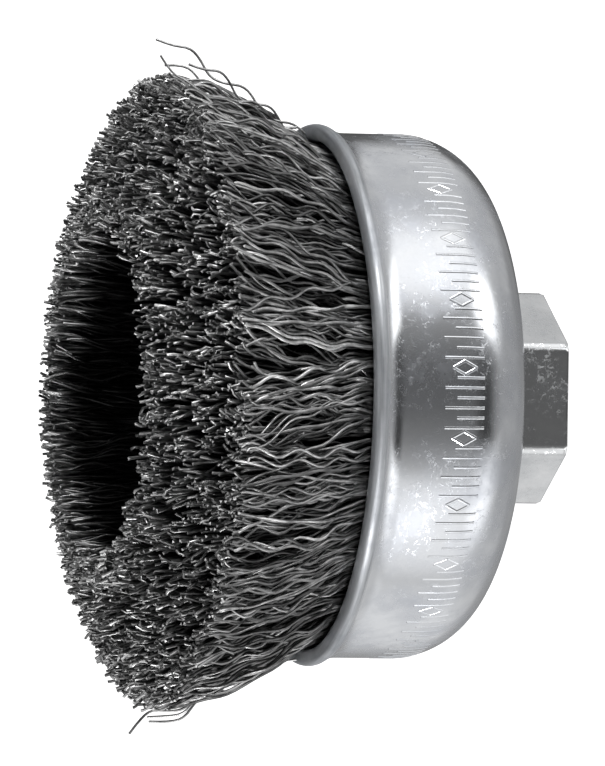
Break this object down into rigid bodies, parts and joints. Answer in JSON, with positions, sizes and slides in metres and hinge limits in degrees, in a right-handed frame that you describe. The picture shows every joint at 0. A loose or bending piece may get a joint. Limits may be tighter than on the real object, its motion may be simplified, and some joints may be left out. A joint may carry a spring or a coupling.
{
  "type": "wire cup brush",
  "caption": "Wire cup brush for an angle grinder: a pressed steel cup full of crimped wires on a hexagon nut with a spindle thread.",
  "frame": {"origin": "centre of the nut's end face, which the brush stands on", "axes": "+Z along the spindle axis, from the nut towards the wire tips; +X through a corner of the hexagon nut, -Y through one of its flats"},
  "size_m": [0.0831, 0.0763, 0.0547],
  "materials": {
    "cup_zinc": "bright zinc plate, glossy",
    "nut_zinc": "zinc plate, worn and scratched",
    "plate_steel": "satin",
    "ring_steel": "satin",
    "wire_steel": "bare drawn wire"
  },
  "bodies": {
    "root": {"cup": "cup_zinc", "hex_nut": "nut_zinc", "inner_plate": "plate_steel", "retaining_ring": "ring_steel", "wires_inner": "wire_steel", "wires_middle": "wire_steel", "wires_outer": "wire_steel", "stray_wires": "wire_steel"}
  },
  "joints": []
}
